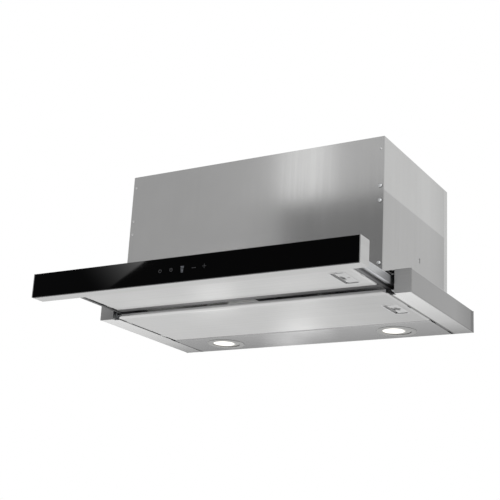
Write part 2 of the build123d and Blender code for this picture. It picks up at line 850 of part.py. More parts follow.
def right_scroll_half():
    """Half of the scroll housing: side plate with its inlet, wrap wall, joint rim and top flange."""
    x1 = scroll_half
    shape = along_x(scroll_line(scroll_wall), 0, x1)
    inside = scroll_line(0)
    shape -= along_x(inside, -overrun, x1 - scroll_wall)
    rim = scroll_line(scroll_wall + scroll_rim) - inside
    shape += along_x(rim, 0, scroll_rim_thickness)
    top = lid_top - sheet
    y0 = throat_front - scroll_wall - scroll_flange
    y1 = throat_rear + scroll_wall + scroll_flange
    flange = block(0, x1 + scroll_flange, y0, y1, top - scroll_wall, top)
    flange -= block(-overrun, x1 - scroll_wall, throat_front, throat_rear, top - overrun, top + overrun)
    shape += flange
    shape -= rod(inlet_radius, (x1 - overrun, fan_y, fan_z), (x1 + overrun, fan_y, fan_z))
    ring = Pos(fan_y, fan_z) * (Circle(inlet_radius + scroll_wall) - Circle(inlet_radius))
    return shape + along_x(ring, x1 - scroll_wall, x1 + inlet_lip)


def impeller():
    """Squirrel-cage wheel: forward-curved blades between two end rings and a middle disc on a hub."""
    inner = impeller_radius - blade_depth
    half = impeller_width / 2
    lead = math.radians(blade_lead_deg)
    skin = blade_thickness / 2
    a = Vector(inner - impeller_ring / 2, 0)
    b = Vector(math.cos(lead), math.sin(lead)) * (impeller_radius - impeller_ring / 2)
    across = (b - a).rotate(Axis.Z, 90).normalized()
    middle = (a + b) / 2 - across * blade_camber
    blade = make_face(Polyline(a, middle + across * skin, b, middle - across * skin, close=True))
    blades = [Rot(0, 0, 360 / blade_count * i) * blade for i in range(blade_count)]
    wheel = [extrude(Plane.XY.offset(-half) * face, amount=impeller_width) for face in blades]
    ring = Circle(impeller_radius) - Circle(inner - impeller_ring)
    ends = extrude(Plane.XY.offset(half - impeller_ring) * ring, amount=impeller_ring)
    ends += extrude(Plane.XY.offset(-half) * ring, amount=impeller_ring)
    disc = extrude(Plane.XY.offset(-impeller_disc / 2) * Circle(impeller_radius), amount=impeller_disc)
    hub = extrude(Plane.XY.offset(-hub_length / 2) * Circle(hub_radius), amount=hub_length)
    bore = rod(shaft_radius + shaft_play, (0, 0, -half), (0, 0, half))
    body = (disc + hub + ends).fuse(*wheel) - bore
    return Pos(0, fan_y, fan_z) * Rot(0, 90, 0) * body


def motor_shaft():
    """Shaft of the motor, through the hub of the wheel."""
    end = motor_start + motor_length + 2 * motor_bell + motor_boss_length + shaft_overhang
    shaft = rod(shaft_radius, (-hub_length / 2, fan_y, fan_z), (end, fan_y, fan_z))
    return chamfer(shaft.edges().group_by(Axis.X)[0] + shaft.edges().group_by(Axis.X)[-1], shaft_chamfer)


def motor_housing():
    """Motor can with cooling fins, end bells and bearing bosses."""
    x0 = motor_start + motor_bell
    x1 = x0 + motor_length
    x2 = x1 + motor_bell
    can = rod(motor_radius, (x0, fan_y, fan_z), (x1, fan_y, fan_z))
    groove_ring = motor_radius - motor_fin_depth / 2
    for i in range(motor_fin_count):
        groove = Pos(groove_ring + motor_fin_depth / 2, 0) * Rectangle(2 * motor_fin_depth, motor_fin_width)
        groove = Pos(fan_y, fan_z) * Rot(0, 0, 360 / motor_fin_count * i) * groove
        can -= along_x(groove, x0 + arm_thickness + motor_fin_width, x1 + overrun)
    front = rod(motor_bell_radius, (motor_start, fan_y, fan_z), (x0, fan_y, fan_z))
    rear = rod(motor_bell_radius, (x1, fan_y, fan_z), (x2, fan_y, fan_z))
    can += chamfer(front.edges().group_by(Axis.X)[0], motor_bell / 2)
    can += chamfer(rear.edges().group_by(Axis.X)[-1], motor_bell / 2)
    can += rod(
        motor_boss_radius, (motor_start - motor_boss_length, fan_y, fan_z), (x2 + motor_boss_length, fan_y, fan_z)
    )
    reach = motor_boss_length + overrun
    return can - rod(
        shaft_radius + shaft_play, (motor_start - reach, fan_y, fan_z), (x2 + reach, fan_y, fan_z)
    )


def mount_places():
    """Centres of the motor mounts as (y, z)."""
    for i in range(mount_count):
        angle = math.radians(90 + 360 / mount_count * (i + 0.5))
        yield (fan_y + mount_pitch_radius * math.cos(angle), fan_z + mount_pitch_radius * math.sin(angle))


def motor_mounts():
    """Rubber mounts between the scroll and the motor bracket."""
    x0 = scroll_half
    return [rod(mount_radius, (x0, y, z), (x0 + mount_length, y, z)) for y, z in mount_places()]


def motor_bracket():
    """Spider that carries the motor: clamping ring and arms out to the rubber mounts."""
    x0 = scroll_half + mount_length
    inner = motor_radius + bracket_play
    ring = Pos(fan_y, fan_z) * (Circle(inner + bracket_ring_width) - Circle(inner))
    shape = along_x(ring, x0, x0 + 2 * arm_thickness)
    for i, (y, z) in enumerate(mount_places()):
        turn = 90 + 360 / mount_count * (i + 0.5)
        length = mount_pitch_radius - inner - bracket_ring_width / 2
        arm = Pos(inner + bracket_ring_width / 2 + length / 2, 0) * Rectangle(length, arm_width)
        arm = Pos(fan_y, fan_z) * Rot(0, 0, turn) * arm
        foot = Pos(y, z) * Rot(0, 0, turn) * Rectangle(arm_width, arm_width + 2 * arm_thickness)
        shape += along_x(arm + foot, x0, x0 + arm_thickness)
    return shape


def control_box():
    """Box for the control board, open to the front."""
    x0 = control_x - control_width / 2
    x1 = control_x + control_width / 2
    y1 = rear_y - sheet
    y0 = y1 - control_depth
    z0 = control_z - control_height / 2
    z1 = control_z + control_height / 2
    box = block(x0, x1, y0, y1, z0, z1)
    box = chamfer(box.edges().filter_by(Axis.Y), control_corner)
    inner = block(
        x0 + control_wall, x1 - control_wall, y0 - overrun, y1 - control_wall, z0 + control_wall, z1 - control_wall
    )
    box -= inner
    post = 2 * standoff_reach
    for x in (x0 + board_margin, x1 - board_margin):
        for z in (z0 + board_margin, z1 - board_margin):
            y = y1 - control_wall
            box += block(x - post / 2, x + post / 2, y - board_lift, y, z - post / 2, z + post / 2)
    return box


def control_board():
    """Circuit board on the standoffs, with its relays."""
    x0 = control_x - control_width / 2 + board_margin - standoff_reach
    x1 = control_x + control_width / 2 - board_margin + standoff_reach
    z0 = control_z - control_height / 2 + board_margin - standoff_reach
    z1 = control_z + control_height / 2 - board_margin + standoff_reach
    y1 = rear_y - sheet - control_wall - board_lift
    y0 = y1 - board_thickness
    board = block(x0, x1, y0, y1, z0, z1)
    for share in (-relay_share, 0, relay_share):
        x = control_x + share * control_width
        board += block(
            x - relay_size / 2, x + relay_size / 2, y0 - relay_size, y0, control_z - relay_size, control_z
        )
    return board


def control_box_lid():
    """Lid on the front of the control box, with a lip inside its walls."""
    x0 = control_x - control_width / 2
    x1 = control_x + control_width / 2
    y1 = rear_y - sheet - control_depth
    z0 = control_z - control_height / 2
    z1 = control_z + control_height / 2
    lid = block(x0, x1, y1 - control_lid, y1, z0, z1)
    lid = chamfer(lid.edges().filter_by(Axis.Y), control_corner)
    lip = control_wall + latch_play
    edge = block(x0 + lip, x1 - lip, y1, y1 + control_wall, z0 + lip, z1 - lip)
    wide = lip + control_wall
    return lid + edge - block(x0 + wide, x1 - wide, y1, y1 + overrun, z0 + wide, z1 - wide)


def lamp_driver():
    """Supply for the lamps, screwed to the back panel by two ears."""
    y1 = rear_y - sheet
    x0 = driver_x - driver_width / 2
    x1 = driver_x + driver_width / 2
    z0 = driver_z - driver_height / 2
    z1 = driver_z + driver_height / 2
    body = block(x0, x1, y1 - driver_depth, y1, z0, z1)
    body = chamfer(body.edges().filter_by(Axis.Z), driver_corner)
    half = driver_height / 4
    body += block(
        x0 - driver_ear, x1 + driver_ear, y1 - driver_ear_thickness, y1, driver_z - half, driver_z + half
    )
    for x in (x0 - driver_ear / 2, x1 + driver_ear / 2):
        body -= rod(driver_ear_hole, (x, y1 - driver_ear, driver_z), (x, y1 + overrun, driver_z))
    return body


def run_capacitor():
    """Run capacitor of the motor, its base on the back panel."""
    y1 = rear_y - sheet
    y0 = y1 - capacitor_length
    can = rod(capacitor_radius, (capacitor_x, y1, capacitor_z), (capacitor_x, y0, capacitor_z))
    can = chamfer(can.edges().group_by(Axis.Y)[0], capacitor_rim)
    for x in (capacitor_x - capacitor_radius / 2, capacitor_x + capacitor_radius / 2):
        z0 = capacitor_z - tag_width / 2
        can += block(x - tag_thickness / 2, x + tag_thickness / 2, y0 - tag_length, y0, z0, z0 + tag_width)
    return can


def cable_gland():
    """Cable inlet on the lid: body with hexagon and dome above, nut below. No cable is fitted."""
    place = Pos(gland_x, gland_y)
    z0 = lid_top
    z1 = z0 + gland_hex_height
    z2 = z1 + gland_dome_height
    low = lid_top - sheet - gland_thread_length
    hexagon = RegularPolygon(gland_hex / 2, hex_sides)
    body = extrude(Plane.XY.offset(z0) * place * hexagon, amount=gland_hex_height)
    dome = extrude(Plane.XY.offset(z1) * place * Circle(gland_dome_radius), amount=gland_dome_height)
    body += chamfer(dome.edges().group_by(Axis.Z)[-1], gland_dome_radius - gland_bore_radius - sheet)
    body += rod(gland_radius, (gland_x, gland_y, low), (gland_x, gland_y, z0))
    body -= rod(gland_bore_radius, (gland_x, gland_y, low - overrun), (gland_x, gland_y, z2 + overrun))
    nut_face = place * (RegularPolygon(gland_hex / 2, hex_sides) - Circle(gland_radius + shaft_play))
    nut = extrude(Plane.XY.offset(lid_top - sheet - gland_nut_height) * nut_face, amount=gland_nut_height)
    return [body, nut]


def lever_axle():
    """Place of the limit switch lever's axle as (x, y, z)."""
    x = body_half + sheet + switch_side_gap + switch_width / 2
    closed_end = bar_rear + visor_side_length + visor_travel
    lean = math.radians(lever_lean_deg)
    y = closed_end + lever_clear + lever_thickness + lever_axle_radius + lever_length * math.sin(lean)
    return (x, y, -sheet - switch_ear)


def limit_switch():
    """Switch body under the seat flange, with the two ears that hold its lever."""
    x, y, z = lever_axle()
    y0 = y + switch_ear
    body = block(
        x - switch_width / 2, x + switch_width / 2, y0, y0 + switch_depth, -sheet - switch_height, -sheet
    )
    for side in (-1, 1):
        x0 = x + side * switch_width / 2
        x1 = x0 - side * switch_ear_thickness
        ear = block(x0, x1, y - switch_ear, y0, -sheet - 2 * switch_ear, -sheet)
        body += ear
    return body - rod(lever_axle_radius + lever_play, (x - switch_width, y, z), (x + switch_width, y, z))


def switch_lever():
    """Sprung lever of the limit switch, leaning towards the visor."""
    x, y, z = lever_axle()
    half = switch_width / 2 - switch_ear_thickness - lever_side_play
    axle = rod(lever_axle_radius, (x - switch_width / 2, y, z), (x + switch_width / 2, y, z))
    leaf = block(-half, half, -lever_thickness, 0, -lever_length, 0)
    return axle + Pos(x, y, z) * Rot(-lever_lean_deg, 0, 0) * Pos(0, lever_thickness / 2, 0) * leaf


front_half = visor_ledge_edge - filter_side_gap
rear_half = ledge_edge - filter_side_gap
front_filter = (front_half, front_filter_start, front_filter_end, visor_bottom, front_latch_inset)
rear_filter = (rear_half, front_y, rear_filter_end, base_bottom, rear_latch_inset)

nodes = {
    "base_front_crossmember": base_front_crossmember(),
    "base_rear_wall": base_rear_wall(),
    "lamp_panel": lamp_panel(),
    "body_front_panel": front_panel(),
    "body_back_panel": back_panel(),
    "body_top_panel": top_panel(),
    "body_rivets": body_rivets(),
    "duct_collar": duct_collar(),
    "front_damper_flap": front_flap(),
    "rear_damper_flap": rear_flap(),
    "front_bar": front_bar(),
    "glass_panel": glass_panel(),
    "touch_board": touch_board(),
    "visor_front_crossmember": visor_front_crossmember(),
    "visor_rear_crossmember": visor_rear_crossmember(),
    "front_filter_panel": filter_pan(*front_filter),
    "rear_filter_panel": filter_pan(*rear_filter),
    "front_filter_mesh": mesh_cassette(*front_filter),
    "rear_filter_mesh": mesh_cassette(*rear_filter),
    "front_latch_housing": latch_housing(*front_filter),
    "rear_latch_housing": latch_housing(*rear_filter),
    "front_latch_slider": latch_slider(*front_filter),
    "rear_latch_slider": latch_slider(*rear_filter),
    "impeller": impeller(),
    "motor_shaft": motor_shaft(),
    "motor_housing": motor_housing(),
    "motor_mounts": motor_mounts(),
    "motor_bracket": motor_bracket(),
    "control_box": control_box(),
    "control_board": control_board(),
    "control_box_lid": control_box_lid(),
    "lamp_driver": lamp_driver(),
    "run_capacitor": run_capacitor(),
    "cable_gland": cable_gland(),
    "limit_switch": limit_switch(),
    "switch_lever": switch_lever(),
}

for side, x in (("left", -lamp_x), ("right", lamp_x)):
    nodes[side + "_lamp_housing"] = lamp_housing(x)
    nodes[side + "_lamp_lens"] = lamp_lens(x)

paired = {
    "side_channel": right_channel(),
    "channel_cap": right_channel_cap(),
    "slide_bracket": right_slide_bracket(),
    "side_panel": right_side_panel(),
    "outer_rail": right_outer_rail(),
    "inner_rail": right_inner_rail(),
    "ball_cage": right_ball_cage(),
    "bar_cap": right_bar_cap(),
    "visor_side": right_visor_side(),
    "scroll_half": right_scroll_half(),
}
for name, shape in paired.items():
    nodes["right_" + name] = shape
    nodes["left_" + name] = mirrored(shape)

cage = [*nodes["right_ball_cage"].solids(), *right_balls()]
nodes["right_ball_cage"] = cage
nodes["left_ball_cage"] = [mirrored(piece) for piece in cage]

os.makedirs("parts", exist_ok=True)
for name, shape in nodes.items():
    pieces = shape if isinstance(shape, list) else shape.solids()
    export_step(Compound(children=list(pieces)), "parts/" + name + ".step")
print(len(nodes), "nodes")
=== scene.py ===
import math

import bmesh
import bpy
from mathutils import Matrix, Vector


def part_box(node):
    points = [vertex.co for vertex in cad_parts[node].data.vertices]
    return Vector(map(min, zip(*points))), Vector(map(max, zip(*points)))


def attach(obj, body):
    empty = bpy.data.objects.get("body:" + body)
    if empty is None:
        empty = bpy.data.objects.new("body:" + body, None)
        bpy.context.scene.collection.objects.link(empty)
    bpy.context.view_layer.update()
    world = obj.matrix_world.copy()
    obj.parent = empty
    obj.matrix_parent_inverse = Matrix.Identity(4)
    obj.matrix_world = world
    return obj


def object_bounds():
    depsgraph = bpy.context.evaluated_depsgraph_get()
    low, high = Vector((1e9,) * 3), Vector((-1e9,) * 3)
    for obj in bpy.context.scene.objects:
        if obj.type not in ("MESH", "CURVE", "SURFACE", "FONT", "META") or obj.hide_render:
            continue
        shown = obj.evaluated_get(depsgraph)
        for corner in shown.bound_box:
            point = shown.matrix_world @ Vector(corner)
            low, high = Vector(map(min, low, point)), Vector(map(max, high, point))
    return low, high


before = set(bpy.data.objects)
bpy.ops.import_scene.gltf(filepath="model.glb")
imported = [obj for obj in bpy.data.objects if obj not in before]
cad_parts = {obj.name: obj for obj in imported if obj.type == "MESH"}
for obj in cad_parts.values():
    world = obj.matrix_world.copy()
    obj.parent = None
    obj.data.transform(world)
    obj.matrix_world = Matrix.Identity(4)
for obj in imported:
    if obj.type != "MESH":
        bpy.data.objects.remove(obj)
cad_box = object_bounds()

MM = 0.001
X_AXIS, Y_AXIS, Z_AXIS = 0, 1, 2
SIDES = ("left", "right")
ENDS = ("front", "rear")

# Camera at the photograph's viewing angle
CAMERA_AZIMUTH = math.radians(31.18)
CAMERA_ELEVATION = math.radians(-17.23)
CAMERA_ROLL = math.radians(3.22)
CAMERA_TARGET = Vector((6.85, -142.0, 60.6)) * MM
CAMERA_DISTANCE = 1869.3 * MM
CAMERA_LENS = 79.717
CAMERA_SENSOR = 36.0
CAMERA_NEAR, CAMERA_FAR = 0.05, 50

# Places taken from the frame
HALF_WIDTH = cad_box[1].x
body_low, body_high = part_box("body_front_panel")
BODY_LEFT, BODY_RIGHT, BODY_FRONT = body_low.x, body_high.x, body_low.y
RIVET_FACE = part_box("body_rivets")[0].y
LID_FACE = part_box("body_top_panel")[1].z
GLASS_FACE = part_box("glass_panel")[0].y
CHANNEL_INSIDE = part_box("right_side_channel")[0].x
LATCH_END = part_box("front_latch_slider")[1].x


def linked(name, data):
    """New object with the given data, linked to the scene."""
    obj = bpy.data.objects.new(name, data)
    bpy.context.scene.collection.objects.link(obj)
    return obj


def camera():
    """Camera on the circle round its target, rolled as in the photograph."""
    azimuth, elevation, roll = CAMERA_AZIMUTH, CAMERA_ELEVATION, CAMERA_ROLL
    level = math.cos(elevation)
    back = Vector((math.sin(azimuth) * level, -math.cos(azimuth) * level, math.sin(elevation)))
    right = Vector((math.cos(azimuth), math.sin(azimuth), 0))
    up = back.cross(right)
    turned_right = right * math.cos(roll) + up * math.sin(roll)
    turned_up = up * math.cos(roll) - right * math.sin(roll)
    data = bpy.data.cameras.new("camera")
    data.lens = CAMERA_LENS
    data.sensor_width = CAMERA_SENSOR
    data.clip_start = CAMERA_NEAR
    data.clip_end = CAMERA_FAR
    obj = linked("camera", data)
    columns = Matrix((turned_right, turned_up, back)).transposed().to_4x4()
    obj.matrix_world = Matrix.Translation(CAMERA_TARGET + back * CAMERA_DISTANCE) @ columns
    bpy.context.scene.camera = obj


camera()
bpy.context.scene.view_settings.view_transform = "Standard"

# Sockets of a Mix node for each type of data: first value, second value and result
MIX_SOCKETS = {"VECTOR": (4, 5, 1), "RGBA": (6, 7, 2)}


def fill(tree, node, inputs):
    """Set inputs of a node to values, or link them where the value is a socket."""
    for key, value in inputs.items():
        if isinstance(value, bpy.types.NodeSocket):
            tree.links.new(value, node.inputs[key])
        else:
            node.inputs[key].default_value = value


def add_node(tree, kind, inputs=None, **settings):
    """New shader node with the given settings and inputs."""
    node = tree.nodes.new("ShaderNode" + kind)
    for key, value in settings.items():
        setattr(node, key, value)
    fill(tree, node, inputs or {})
    return node


def mixed(tree, data_type, factor, first, second, blend="MIX"):
    """Mix of two vectors or colours, each a value or a socket."""
    one, two, result = MIX_SOCKETS[data_type]
    inputs = {0: factor, one: first, two: second}
    node = add_node(tree, "Mix", inputs, data_type=data_type, blend_type=blend)
    return node.outputs[result]


class Nodes:
    """The nodes of one material, round its surface shader."""

    def __init__(self, name):
        self.material = bpy.data.materials.new(name)
        self.material.use_nodes = True
        self.tree = self.material.node_tree
        self.shader = self.tree.nodes["Principled BSDF"]
        self.coordinates = self.add("TexCoord").outputs["Object"]

    def add(self, kind, inputs=None, **settings):
        return add_node(self.tree, kind, inputs, **settings)

    def surface(self, inputs):
        """Set or link inputs of the surface shader."""
        fill(self.tree, self.shader, inputs)

    def calculated(self, operation, *values):
        """Result of a Math node."""
        return self.add("Math", dict(enumerate(values)), operation=operation).outputs[0]

    def distance(self, place, centre):
        """Distance between two places, each a point or a socket."""
        return self.add("VectorMath", {0: place, 1: centre}, operation="DISTANCE").outputs["Value"]

    def along(self, axis):
        """Place along an axis of the object."""
        return self.add("SeparateXYZ", {0: self.coordinates}).outputs[axis]

    def noise(self, cells, detail=3.0, roughness=0.6, seed=(0, 0, 0)):
        """Noise with a number of cells per metre along each axis."""
        place = self.add("Mapping", {"Vector": self.coordinates, "Scale": cells, "Location": seed})
        inputs = {"Vector": place.outputs[0], "Detail": detail, "Roughness": roughness, "Scale": 1.0}
        return self.add("TexNoise", inputs).outputs[0]

    def mapped(self, value, low, high, start=0.3, end=0.7):
        """The value moved from start..end to low..high. Noise lies mostly from 0.3 to 0.7."""
        inputs = {"Value": value, "From Min": start, "From Max": end, "To Min": low, "To Max": high}
        return self.add("MapRange", inputs).outputs[0]

    def two_colors(self, factor, first, second):
        return mixed(self.tree, "RGBA", factor, (*first, 1), (*second, 1))

    def multiplied(self, color, factor):
        return mixed(self.tree, "RGBA", 1.0, color, factor, "MULTIPLY")

    def tone(self, color, axis, start, end, low, high, centre=None):
        """The colour with a brightness that goes from low at start to high at end on an axis.

        With a centre, start and end are distances from it, to both sides.
        """
        place = self.along(axis)
        if centre is not None:
            place = self.calculated("ABSOLUTE", self.calculated("SUBTRACT", place, centre))
        return self.multiplied(color, self.mapped(place, low, high, start, end))

    def shade_spots(self, color, centres, width, length, low):
        """The colour with painted shade: soft dark spots round the given points, long along Y."""
        squeeze = width / length
        inputs = {"Vector": self.coordinates, "Scale": (1.0, squeeze, 1.0)}
        place = self.add("Mapping", inputs).outputs[0]
        for x, y, z in centres:
            reach = self.distance(place, (x, y * squeeze, z))
            color = self.multiplied(color, self.mapped(reach, low, 1.0, width / 2, width))
        return color

    def bump(self, height, strength, distance):
        inputs = {"Height": height, "Strength": strength, "Distance": distance}
        self.surface({"Normal": self.add("Bump", inputs).outputs[0]})


# Brushed metal: noise cells per metre across and along its lines, and those of its faint clouds
FINE_LINES = (1400.0, 3.0)
COARSE_LINES = (220.0, 1.2)
CLOUDS = (5.0, 5.0, 5.0)
CLOUD_SHADE = 0.92
LINE_COLOR = (0.25, 0.25, 0.25, 1)
LINE_SHARE = 0.12
GLOSS_SHARES = (0.85, 1.2)
LINE_BUMP_STRENGTH, LINE_BUMP = 0.25, 0.08 * MM

# Half width, half length along Y and brightness of a spot of painted shade
PIT_SHADE_SPOT = (4.5 * MM, 12.5 * MM, 0.3)


def line_cells(axis, across, along):
    """Noise cells per metre for lines along one axis."""
    return tuple(along if i == axis else across for i in range(3))


def brushed(name, color, roughness, axis, grain=1.0, tones=(), shade_spots=()):
    """Brushed metal: fine lines along one axis, faint clouds, and gloss that follows the lines."""
    nodes = Nodes(name)
    fine = nodes.noise(line_cells(axis, *FINE_LINES), detail=2.0, roughness=0.7)
    coarse = nodes.noise(line_cells(axis, *COARSE_LINES), seed=(3.1, 1.7, 5.3))
    cloud = nodes.noise(CLOUDS, detail=4.0, seed=(7.0, 2.0, 1.0))
    lines = nodes.calculated("MULTIPLY", nodes.calculated("ADD", fine, coarse), 0.5)
    tint = nodes.two_colors(nodes.mapped(cloud, 0, 1), tuple(c * CLOUD_SHADE for c in color), color)
    darkness = nodes.mapped(lines, 0.0, LINE_SHARE * grain)
    shaded = mixed(nodes.tree, "RGBA", darkness, tint, LINE_COLOR, "MULTIPLY")
    # Tones along an axis, most of them painted light and shade
    for tone in tones:
        shaded = nodes.tone(shaded, *tone)
    # Painted shade round the pits
    if shade_spots:
        shaded = nodes.shade_spots(shaded, shade_spots, *PIT_SHADE_SPOT)
    gloss = nodes.mapped(lines, *(roughness * share for share in GLOSS_SHARES))
    nodes.surface({"Base Color": shaded, "Roughness": gloss, "Metallic": 1.0})
    nodes.bump(lines, LINE_BUMP_STRENGTH * grain, LINE_BUMP)
    return nodes.material


# Moulded or painted surface: noise cells per metre of its texture and of its mottling
TEXTURE_CELLS = (900.0, 900.0, 900.0)
MOTTLE_CELLS = (30.0, 30.0, 30.0)
MOTTLE = 0.02
TEXTURE_GLOSS = 0.05
TEXTURE_BUMP_STRENGTH, TEXTURE_BUMP = 0.3, 0.05 * MM


def moulded(name, color, roughness, metallic=0.0, tones=()):
    """Moulded or painted surface with a fine texture and slight mottling."""
    nodes = Nodes(name)
    texture = nodes.noise(TEXTURE_CELLS, detail=2.0)
    mottle = nodes.noise(MOTTLE_CELLS, detail=4.0, seed=(4, 4, 4))
    light = tuple(min(1, c * (1 + MOTTLE) + MOTTLE / 4) for c in color)
    dark = tuple(c * (1 - MOTTLE) for c in color)
    shaded = nodes.two_colors(nodes.mapped(mottle, 0, 1), dark, light)
    # Tones along an axis: painted light and shade
    for tone in tones:
        shaded = nodes.tone(shaded, *tone)
    gloss = nodes.mapped(texture, roughness - TEXTURE_GLOSS, roughness + TEXTURE_GLOSS)
    nodes.surface({"Base Color": shaded, "Roughness": gloss, "Metallic": metallic})
    nodes.bump(texture, TEXTURE_BUMP_STRENGTH, TEXTURE_BUMP)
    return nodes.material


def black_glass():
    """Polished black glass with faint smears in its gloss."""
    nodes = Nodes("black_glass")
    gloss = nodes.mapped(nodes.noise((9.0, 9.0, 40.0), detail=5.0), 0.035, 0.06)
    nodes.surface({"Base Color": (0.0005, 0.0005, 0.0006, 1), "Roughness": gloss})
    nodes.surface({"IOR": 1.5, "Specular IOR Level": 0.07})
    return nodes.material


# Lit spot of a lamp: its centre from the middle of the lamp housing's lower face, and its reach
GLOW_CENTRES = {"left": Vector((-4.0, -1.5, 1.0)) * MM, "right": Vector((-6.0, -1.5, 1.0)) * MM}
GLOW_RADIUS = 22.5 * MM
GLOW_EDGE_SHARE = 0.8
GLOW_STRENGTH = 0.95


def glow_centre(side):
    """Centre of the lit spot on the lamp's lens."""
    low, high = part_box(f"{side}_lamp_housing")
    middle = (low + high) / 2
    return tuple(Vector((middle.x, middle.y, low.z)) + GLOW_CENTRES[side])


def lens():
    """Frosted lens that glows as the lit lamp in the photograph."""
    nodes = Nodes("frosted_lens")
    frost = nodes.noise((500.0, 500.0, 500.0), detail=2.0)
    right = nodes.calculated("GREATER_THAN", nodes.along(X_AXIS), 0.0)
    centre = mixed(nodes.tree, "VECTOR", right, glow_centre("left"), glow_centre("right"))
    reach = nodes.distance(nodes.coordinates, centre)
    glow = nodes.mapped(reach, GLOW_STRENGTH, 0.0, GLOW_RADIUS * GLOW_EDGE_SHARE, GLOW_RADIUS)
    gloss = nodes.mapped(frost, 0.35, 0.55)
    nodes.surface({"Base Color": (0.32, 0.32, 0.31, 1), "Roughness": gloss})
    nodes.surface({"Emission Color": (1.0, 0.97, 0.90, 1), "Emission Strength": glow})
    nodes.bump(frost, 0.4, 0.1 * MM)
    return nodes.material


# Painted shade round the pits in the latch sliders: distances of the dark spots from the slider's
# left end
PIT_SHADE_PLACES = {"front_latch_slider": (2.8 * MM,), "rear_latch_slider": (0.8 * MM, 8.4 * MM)}


def pit_shade_centres():
    """Centres of the spots of painted shade, on the sliders' undersides and halfway along Y."""
    centres = []
    for name, places in PIT_SHADE_PLACES.items():
        low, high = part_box(name)
        centres += [(low.x + place, (low.y + high.y) / 2, low.z) for place in places]
    return centres


STEEL = (0.60, 0.60, 0.595)
# Channel steel, lighter than the other steel: painted light
LIT_CHANNEL_STEEL = (0.78, 0.78, 0.775)
FILTER_STEEL = (0.655, 0.655, 0.65)
# Lamp panel steel, darker than the other steel: painted shade
SHADED_LAMP_STEEL = (0.42, 0.42, 0.42)
DULL_STEEL = (0.37, 0.37, 0.37)

# Painted shade: where the ends of the base, the rail below the body and the tip of a latch get darker
END_SHADE = (HALF_WIDTH - 3.0 * MM, HALF_WIDTH - 0.5 * MM)
RAIL_SHADE = (BODY_FRONT - 11.0 * MM, BODY_FRONT - 4.0 * MM)
LATCH_TIP_SHADE = (LATCH_END - 1.5 * MM, LATCH_END)

# Middle of a dark line of painted shade along the right channel, beside the filter's edge
CHANNEL_SHADE_LINE = CHANNEL_INSIDE + 13.6 * MM

# Tones of a sheet, most of them painted light and shade: axis, start, end, brightness at each, and a
# centre where those are distances
# Side panels: darker below a step in height, and painted shade towards the rear
SIDE_STEP_AND_SHADE_TONES = ((Z_AXIS, 0.1345, 0.1375, 0.80, 1.0), (Y_AXIS, 0.05, 0.13, 1.0, 0.86))
# Channels: painted shade on their outer walls, along the dark line and towards the rear
CHANNEL_SHADE_TONES = (
    (X_AXIS, *END_SHADE, 1.0, 0.43, 0.0),
    (X_AXIS, 1.0 * MM, 2.6 * MM, 0.2, 1.0, CHANNEL_SHADE_LINE),
    (Y_AXIS, 0.05, 0.14, 1.0, 0.60),
)
# Rear wall: painted shade at its ends
REAR_SHADE_TONES = ((X_AXIS, *END_SHADE, 1.0, 0.24, 0.0),)
# Inner rails: painted shade where they run under the body's front
RAIL_SHADE_TONES = ((Y_AXIS, *RAIL_SHADE, 1.0, 0.12),)
# Rear crossmember: painted reflection, lighter round its middle and darker towards its ends
CROSSMEMBER_REFLECTION_TONES = ((X_AXIS, 0.03, 0.16, 1.0, 0.4, -0.045),)
# Visor sides: painted shade towards the rear, where they run into the base
VISOR_SIDE_SHADE_TONES = ((Y_AXIS, -0.25, -0.175, 1.0, 0.15),)
# Latch sliders: painted shade at their tips, along the channel's dark line
SLIDER_SHADE_TONES = ((X_AXIS, *LATCH_TIP_SHADE, 1.0, 0.15),)
# Rear filter: painted shade towards its right
REAR_FILTER_SHADE_TONES = ((X_AXIS, 0.12, 0.22, 1.0, 0.85),)
# Lamp panel: painted shade towards the rear and at the left
LAMP_PANEL_SHADE_TONES = ((Y_AXIS, 0.04, 0.135, 1.0, 0.70), (X_AXIS, -0.16, -0.05, 0.80, 1.0))

